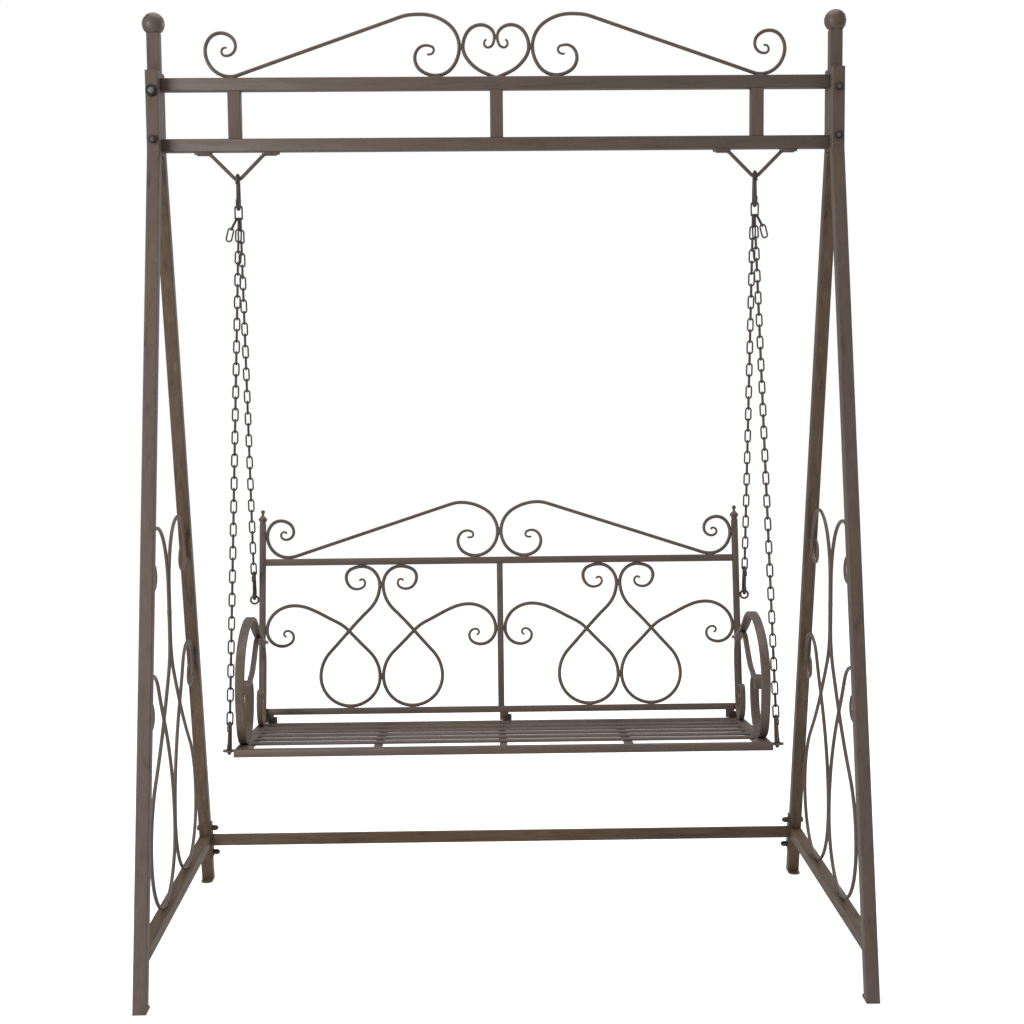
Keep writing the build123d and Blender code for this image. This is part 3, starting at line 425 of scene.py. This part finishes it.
class Finish(Enum):
    """Every finish on the swing."""

    # The iron and brown paints all carry painted shade along their edges
    UPRIGHT = iron_coat("iron_paint_upright", Grain.UPRIGHT)
    ACROSS = iron_coat("iron_paint_across", Grain.ACROSS)
    DEPTH = iron_coat("iron_paint_depth", Grain.DEPTH)
    SCROLL = iron_coat("iron_paint_scroll", Grain.BLOTCHED, roughness=0.42, wear=0.3)
    LOW_ACROSS = brown_coat("iron_brown_across", Grain.ACROSS)
    LOW_DEPTH = brown_coat("iron_brown_depth", Grain.DEPTH)
    LOW_UPRIGHT = brown_coat("iron_brown_upright", Grain.UPRIGHT)
    CHAIN = Coat(
        "aged_chain",
        linear(78, 68, 61),
        linear(36, 29, 25),
        linear(106, 96, 87),
        linear(136, 125, 115),
        streak_share=0.9,
        wear=0.6,
        roughness=0.4,
        metallic=0.3,
        rubbed_metallic=0.7,
        wear_radius=0.0007,
    )
    HOOK = Coat(
        "aged_hook",
        linear(78, 68, 61),
        linear(40, 33, 28),
        linear(104, 94, 85),
        linear(138, 128, 117),
        wear=0.6,
        roughness=0.4,
        metallic=0.4,
        rubbed_metallic=0.85,
        wear_radius=0.0008,
    )
    BOLT = Coat(
        "blackened_bolt",
        linear(72, 63, 59),
        linear(34, 29, 27),
        linear(104, 94, 88),
        linear(138, 128, 120),
        wear=0.6,
        roughness=0.38,
        metallic=0.5,
        rubbed_metallic=0.9,
        wear_radius=0.0007,
    )
    # Black rubber of one post bolt's cover, and the black rings of painted shade round the other
    # post bolts' heads
    RUBBER_AND_SHADE_RING = Coat(
        "black_rubber_and_shade_rings",
        linear(26, 22, 21),
        linear(16, 13, 12),
        linear(40, 35, 33),
        linear(52, 46, 44),
        roughness=0.6,
        wear=0.3,
    )
    BRIGHT = Coat(
        "dull_zinc",
        linear(122, 111, 106),
        linear(82, 73, 69),
        linear(140, 130, 125),
        linear(146, 136, 130),
        roughness=0.42,
        metallic=0.25,
        rubbed_metallic=0.5,
        wear_radius=0.0007,
    )


class Wardrobe:
    """Keeps each finish as one material and puts it on the pieces."""

    def __init__(self) -> None:
        """Build the shared effects and every material."""
        effects = PaintEffects()
        self.materials = {finish: finish.value.material(effects) for finish in Finish}

    def dress(self, piece: bpy.types.Object, finish: Finish) -> None:
        """Put one finish on a piece.

        Args:
            piece: The piece.
            finish: Its finish.
        """
        piece.data.materials.clear()
        piece.data.materials.append(self.materials[finish])


def soften_edges(piece: bpy.types.Object, width: float) -> None:
    """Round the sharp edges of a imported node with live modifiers.

    Args:
        piece: The node's object.
        width: Width of the rounding in metres.
    """
    weld = piece.modifiers.new("merge", "WELD")
    weld.merge_threshold = MERGE_DISTANCE
    bevel = piece.modifiers.new("soft_edges", "BEVEL")
    bevel.width = width
    bevel.segments = 2
    bevel.limit_method = "ANGLE"
    bevel.angle_limit = math.radians(SHARP_ANGLE)
    bevel.harden_normals = True
    piece.data.shade_smooth()


@dataclass
class Dressing:
    """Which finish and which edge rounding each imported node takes."""

    wardrobe: Wardrobe
    tube_edge: float = 0.5 * MM
    bar_edge: float = 0.9 * MM

    def finish_of(self, node: str) -> Finish:
        """Name the finish of a node from what it is.

        Args:
            node: The node's name.

        Returns:
            Its finish.
        """
        if node.endswith("_chain"):
            return Finish.CHAIN
        if node == "snap_hooks" or node.endswith("_gate"):
            return Finish.HOOK
        if node == "post_bolts":
            return Finish.SCROLL
        if node.endswith("_bolts"):
            return Finish.BOLT
        if node == "rear_stretcher":
            return Finish.LOW_ACROSS
        if node.endswith("lower_rail"):
            return Finish.LOW_DEPTH
        if node.endswith("rear_leg") or node == "stretcher_flanges":
            return Finish.LOW_UPRIGHT
        if "scroll" in node or "crest" in node or node.endswith("_arm"):
            return Finish.SCROLL
        if node.endswith("finials") or node in ("foot_plates", "chain_hangers", "chain_eyes"):
            return Finish.SCROLL
        if node.endswith(("_left_rail", "_right_rail", "cross_bars")):
            return Finish.DEPTH
        if node.endswith(("leg", "post", "stile", "beam_spacers")):
            return Finish.UPRIGHT
        return Finish.ACROSS

    def dress_all(self, nodes: list[str]) -> None:
        """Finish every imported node.

        Args:
            nodes: The nodes' names.
        """
        bent = ("scroll", "crest", "arm")
        sharp = (*bent, "seat_", "back_", "lugs", "flanges", "plates", "beam")
        for node in nodes:
            piece = bpy.data.objects[node]
            finish = self.finish_of(node)
            self.wardrobe.dress(piece, finish)
            if any(word in node for word in sharp):
                is_bent = any(word in node for word in bent)
                soften_edges(piece, self.bar_edge if is_bent else self.tube_edge)
            LOG.info("%s: %s", node, finish.value.name)


@dataclass(frozen=True)
class Plate:
    """A tilted working plane of the swing, such as its seat or its back, in millimetres."""

    start_y: float
    start_z: float
    tilt: float

    def at(self, across: float, along: float, above: float) -> Vector:
        """Turn a place on the plane into a place in the scene.

        Args:
            across: Distance to the right.
            along: Distance along the plane, away from its lower front edge.
            above: Distance out of the plane, upwards or forwards.

        Returns:
            The place in metres.
        """
        turn = math.radians(self.tilt)
        y = self.start_y + along * math.cos(turn) - above * math.sin(turn)
        z = self.start_z + along * math.sin(turn) + above * math.cos(turn)
        return Vector((across, y, z)) * MM

    def heading(self, across: float, along: float) -> Vector:
        """Turn a direction on the plane into a direction in the scene.

        Args:
            across: Share to the right.
            along: Share along the plane.

        Returns:
            The direction.
        """
        turn = math.radians(self.tilt)
        return Vector((across, along * math.cos(turn), along * math.sin(turn)))


SEAT = Plate(-301.0, 500.7, -4.7)
BACK = Plate(122.5, 491.6, 78.0)


def in_metres(x: float, y: float, z: float) -> Vector:
    """Turn a place given in millimetres into metres.

    Args:
        x: Distance to the right of the middle.
        y: Distance behind the middle.
        z: Height above the floor.

    Returns:
        The place in metres.
    """
    return Vector((x * MM, y * MM, z * MM))


@dataclass(frozen=True)
class Bead:
    """One weld bead, in metres."""

    place: Vector
    run: Vector
    length: float = 15 * MM
    radius: float = 2.3 * MM


@dataclass
class Welds:
    """The small weld beads that hold rods, rails and tubes together.

    Places are in millimetres. On the stand they are distance to the rear and height, or distance
    to the right and height on the beam. On the back and the seat they are distance from the
    middle and distance along the plane.
    """

    wardrobe: Wardrobe
    rod_side: float = 2.9
    ripple: float = 0.13
    ripples: float = 9.0
    leg_run: tuple[float, float] = (-0.2317, 0.9728)
    side_scrolls_meet: float = 745.0
    loop_foot: tuple[float, float] = (145.0, 122.4)
    side_curls: tuple = ((223.8, 864.6), (289.1, 590.8))
    crest_feet: tuple = ((575.0, 1910.8), (130.5, 1910.8))
    heart_side: tuple[float, float] = (75.3, 1974.0)
    heart_foot: tuple[float, float] = (4.5, 1910.5)
    heart_lobes: tuple[float, float] = (1.8, 1995.0)
    bay: float = 276.4
    bay_meetings: tuple[float, float] = (79.0, 291.7)
    bay_curl: tuple[float, float] = (44.9, 337.4)
    bay_loop_foot: tuple[float, float] = (71.6, 8.9)
    bay_end: tuple[float, float] = (268.8, 187.5)
    back_crests_meet: float = 414.6
    back_crest_feet: tuple = ((493.6, 355.2), (57.7, 355.2))
    back_crest_end: tuple[float, float] = (545.2, 407.7)
    arm: float = 547.8
    arm_lift: float = 0.8
    arm_foot: tuple[float, float] = (8.5, 88.8)
    arm_scroll_foot: tuple[float, float] = (5.0, 376.1)

    def piece(self, name: str, body: str, beads: list[Bead]) -> bpy.types.Object:
        """Lay beads as one piece.

        Args:
            name: Name of the piece.
            body: Body that the beads move with.
            beads: The beads.

        Returns:
            The piece.
        """
        shape = bmesh.new()
        for index, bead in enumerate(beads):
            made = bmesh.ops.create_uvsphere(shape, u_segments=14, v_segments=16, radius=1.0)
            turn = bead.run.to_track_quat("Z", "X").to_matrix()
            for vert in made["verts"]:
                x, y, z = vert.co
                swell = bead.radius * (1 + self.ripple * math.sin(self.ripples * z + index))
                vert.co = turn @ Vector((x * swell, y * swell, z * bead.length / 2)) + bead.place
        mesh = bpy.data.meshes.new(name)
        shape.to_mesh(mesh)
        shape.free()
        mesh.shade_smooth()
        piece = bpy.data.objects.new(name, mesh)
        bpy.context.collection.objects.link(piece)
        self.wardrobe.dress(piece, Finish.SCROLL)
        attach(piece, body)
        return piece

    def stand_beads(self) -> list[Bead]:
        """List the beads of the stand.

        Returns:
            Beads at the feet, sides and tops of the scrolls, at the heart and along the beams.
        """
        across, rearward, up = Matrix.Identity(3)
        beads = []
        for side in SIDES:
            for face in SIDES:
                x = side * POST_X + face * self.rod_side
                meeting = in_metres(x, 0, self.side_scrolls_meet)
                beads.append(Bead(meeting, up, 24 * MM))
                for end in SIDES:
                    run = Vector((0, end * self.leg_run[0], self.leg_run[1]))
                    y, z = self.loop_foot
                    beads.append(Bead(in_metres(x, end * y, z), rearward, 20 * MM))
                    for y, z in self.side_curls:
                        beads.append(Bead(in_metres(x, end * y, z), run))
                y = face * self.rod_side
                for x, z in self.crest_feet:
                    beads.append(Bead(in_metres(side * x, y, z), across, 20 * MM))
                x, z = self.heart_side
                beads.append(Bead(in_metres(side * x, y, z), up, 12 * MM))
                x, z = self.heart_foot
                beads.append(Bead(in_metres(side * x, y, z), across, 11 * MM))
        for face in SIDES:
            y, z = self.heart_lobes
            beads.append(Bead(in_metres(0, face * y, z), up, 10 * MM, 1.8 * MM))
        return beads

    def swing_beads(self) -> list[Bead]:
        """List the beads of the swinging seat.

        Returns:
            Beads at the back's scrolls and crest and at the arms.
        """
        across, up = BACK.heading(1, 0), BACK.heading(0, 1)
        along_seat = SEAT.heading(0, 1)
        beads = []
        for face in SIDES:
            lift = face * self.rod_side
            beads.append(Bead(BACK.at(0, self.back_crests_meet, lift), up, 18 * MM))
            for side in SIDES:
                for x, along in self.back_crest_feet:
                    beads.append(Bead(BACK.at(side * x, along, lift), across))
                x, along = self.back_crest_end
                beads.append(Bead(BACK.at(side * x, along, lift), up, 12 * MM))
                bay = side * self.bay
                for along in self.bay_meetings:
                    beads.append(Bead(BACK.at(bay, along, lift), up))
                for half in SIDES:
                    x, along = self.bay_curl
                    beads.append(Bead(BACK.at(bay + half * x, along, lift), across, 12 * MM))
                    x, along = self.bay_loop_foot
                    beads.append(Bead(BACK.at(bay + half * x, along, lift), across))
                    x, along = self.bay_end
                    beads.append(Bead(BACK.at(bay + half * x, along, lift), up, 12 * MM))
        for side in SIDES:
            arm = side * self.arm
            for face in SIDES:
                x, along = self.arm_foot
                foot = SEAT.at(arm + face * x, along, self.arm_lift)
                beads.append(Bead(foot, along_seat, 26 * MM))
                x, along = self.arm_scroll_foot
                foot = SEAT.at(arm + face * x, along, self.arm_lift)
                beads.append(Bead(foot, along_seat, 18 * MM))
        return beads

    def build(self) -> None:
        """Lay every bead."""
        self.piece("stand_welds", "stand", self.stand_beads())
        self.piece("swing_welds", "swing", self.swing_beads())


# Turned outlines, as distance along the axis and radius in millimetres
DOMED_HEAD = (
    (-1, 0), (-1, 5.6), (0.6, 5.6), (1.0, 5.0), (1.4, 4.6), (3.6, 4.1), (4.9, 2.6), (5.4, 0)
)
WIDE_COVER = ((0, 0), (0, 12.6), (0.5, 13.1), (2.0, 12.9), (6.2, 9.6), (7.2, 7.6), (7.2, 0))
WIDE_TIP = ((7.1, 0), (7.1, 6.4), (7.9, 6.1), (8.3, 4.8), (8.4, 0))
# Black ring of painted shade round a post bolt's head
SHADE_RING = ((0, 0), (0, 8.3), (5.8, 8.3), (6.9, 7.4), (7.1, 6.0), (7.1, 0))
TIP = ((7.0, 0), (7.0, 5.0), (7.7, 4.7), (8.0, 3.6), (8.0, 0))


@dataclass
class TurnedBolts:
    """Small bolt heads and covers that the photo shows on the posts and beside the arms."""

    wardrobe: Wardrobe
    steps: int = 28
    seam: float = 1e-6

    def turned(
        self, name: str, body: str, finish: Finish, profile: tuple, places: list[tuple]
    ) -> None:
        """Turn a profile about each axis and join the results as one piece.

        Args:
            name: Name of the piece.
            body: Body that the piece moves with.
            finish: Its finish.
            profile: Distances along the axis and radii, in millimetres.
            places: Centre and axis of each copy.
        """
        shape = bmesh.new()
        for centre, axis in places:
            square = axis.orthogonal().normalized()
            points = [centre + (axis * along + square * radius) * MM for along, radius in profile]
            outline = [shape.verts.new(point) for point in points]
            edges = [shape.edges.new(pair) for pair in zip(outline, outline[1:])]
            bmesh.ops.spin(
                shape,
                geom=outline + edges,
                cent=centre,
                axis=axis,
                angle=math.tau,
                steps=self.steps,
                use_merge=True,
            )
        bmesh.ops.remove_doubles(shape, verts=shape.verts, dist=self.seam)
        bmesh.ops.recalc_face_normals(shape, faces=shape.faces)
        mesh = bpy.data.meshes.new(name)
        shape.to_mesh(mesh)
        shape.free()
        mesh.shade_smooth()
        piece = bpy.data.objects.new(name, mesh)
        bpy.context.collection.objects.link(piece)
        self.wardrobe.dress(piece, finish)
        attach(piece, body)

    def build(self) -> None:
        """Make the bolts at the arms' rear ends, the rubber cover and zinc tip of one post bolt,
        and painted tips inside black rings of painted shade on the other post bolts.
        """
        places = [
            (BACK.at(side * ARM_BOLT_X, ARM_BOLT_UP_BACK, 0), Vector((side, 0, 0)))
            for side in SIDES
        ]
        self.turned("arm_bolts", "swing", Finish.BOLT, DOMED_HEAD, places)
        first, *others = [
            (in_metres(side * POST_X, POST_BOLT_FACE_Y, z), Vector((0, -1, 0)))
            for side in SIDES
            for z in POST_BOLT_Z
        ]
        self.turned("rubber_cover", "stand", Finish.RUBBER_AND_SHADE_RING, WIDE_COVER, [first])
        self.turned("zinc_bolt_tip", "stand", Finish.BRIGHT, WIDE_TIP, [first])
        # Black rings of painted shade round the heads of the other three post bolts
        self.turned("post_bolt_shade_rings", "stand", Finish.RUBBER_AND_SHADE_RING, SHADE_RING, others)
        self.turned("post_bolt_tips", "stand", Finish.UPRIGHT, TIP, others)


@dataclass(frozen=True)
class Lamp:
    """One soft square lamp, in metres."""

    name: str
    place: tuple[float, float, float]
    size: float
    watts: float


LAMPS = (
    Lamp("front_left", (-3.2, -2.7, 1.9), 1.8, 80),
    Lamp("rear_right", (3.6, 3.2, 2.4), 2.5, 66),
    Lamp("top", (0.0, 0.5, 4.6), 3.0, 60),
)


@dataclass
class Studio:
    """Camera, lights, floor and background."""

    focal_pixels: float = 1731.9
    frame_pixels: float = 1024.0
    sensor: float = 36.0
    place: tuple[float, float, float] = (-0.0482, -3.8296, 1.32027)
    pitch: float = -0.09348
    yaw: float = -0.01941
    roll: float = 0.00876
    view_depth: float = 60.0
    middle_z: float = 1.0
    ambient: float = 0.4
    floor_half: float = 25.0
    floor_drop: float = 0.5 * MM
    floor_grey: float = 0.86
    floor_glow: float = 0.68

    def camera(self) -> None:
        """Set the camera at the viewing angle of the photograph."""
        lens = bpy.data.cameras.new("camera")
        lens.sensor_width = self.sensor
        lens.lens = self.focal_pixels / self.frame_pixels * self.sensor
        lens.clip_end = self.view_depth
        piece = bpy.data.objects.new("camera", lens)
        turn = (
            Matrix.Rotation(self.yaw, 4, "Z")
            @ Matrix.Rotation(self.pitch, 4, "X")
            @ Matrix.Rotation(self.roll, 4, "Y")
            @ Matrix.Rotation(math.radians(90), 4, "X")
        )
        piece.matrix_world = Matrix.Translation(self.place) @ turn
        bpy.context.collection.objects.link(piece)
        bpy.context.scene.camera = piece

    def light(self, lamp: Lamp) -> None:
        """Hang one soft square lamp that points at the middle of the swing.

        Args:
            lamp: What to hang and where.
        """
        data = bpy.data.lights.new(lamp.name, "AREA")
        data.size = lamp.size
        data.energy = lamp.watts
        piece = bpy.data.objects.new(lamp.name, data)
        piece.location = lamp.place
        aim = Vector((0, 0, self.middle_z)) - Vector(lamp.place)
        piece.rotation_euler = aim.to_track_quat("-Z", "Y").to_euler()
        bpy.context.collection.objects.link(piece)

    def background(self) -> None:
        """Show white behind the swing and light it evenly from all round."""
        world = bpy.data.worlds.new("studio")
        world.use_nodes = True
        tree = NodeTree(world.node_tree)
        path = tree.add("ShaderNodeLightPath")
        strength = tree.add(
            "ShaderNodeMapRange",
            inputs={
                "Value": path.outputs["Is Camera Ray"],
                "To Min": self.ambient,
                "To Max": 1.0,
            },
        )
        world.node_tree.links.new(
            strength.outputs["Result"], world.node_tree.nodes["Background"].inputs["Strength"]
        )
        world.node_tree.nodes["Background"].inputs["Color"].default_value = (1, 1, 1, 1)
        bpy.context.scene.world = world

    def floor(self) -> None:
        """Lay a floor that the camera sees as nearly white and that bounces light upwards."""
        shape = bmesh.new()
        bmesh.ops.create_grid(shape, x_segments=1, y_segments=1, size=self.floor_half)
        bmesh.ops.translate(shape, verts=shape.verts, vec=(0, 0, -self.floor_drop))
        mesh = bpy.data.meshes.new("floor")
        shape.to_mesh(mesh)
        shape.free()
        piece = bpy.data.objects.new("floor", mesh)
        bpy.context.collection.objects.link(piece)
        made = bpy.data.materials.new("pale_floor")
        made.use_nodes = True
        tree = NodeTree(made.node_tree)
        shader = made.node_tree.nodes["Principled BSDF"]
        shader.inputs["Base Color"].default_value = (*[self.floor_grey] * 3, 1)
        shader.inputs["Roughness"].default_value = 0.9
        shader.inputs["Specular IOR Level"].default_value = 0.0
        path = tree.add("ShaderNodeLightPath")
        glow = tree.math("MULTIPLY", path.outputs["Is Camera Ray"], self.floor_glow)
        shader.inputs["Emission Color"].default_value = (1, 1, 1, 1)
        made.node_tree.links.new(glow, shader.inputs["Emission Strength"])
        mesh.materials.append(made)

    def build(self) -> None:
        """Set up the whole studio."""
        bpy.context.scene.view_settings.view_transform = "Standard"
        self.camera()
        self.background()
        self.floor()
        for lamp in LAMPS:
            self.light(lamp)


def main() -> None:
    """Load the frame, dress every piece and set the studio."""
    logging.basicConfig(level=logging.INFO, format="%(message)s")
    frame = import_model()
    wardrobe = Wardrobe()
    Dressing(wardrobe).dress_all(list(frame["nodes"]))
    Welds(wardrobe).build()
    TurnedBolts(wardrobe).build()
    Studio().build()


if __name__ == "__main__":
    main()
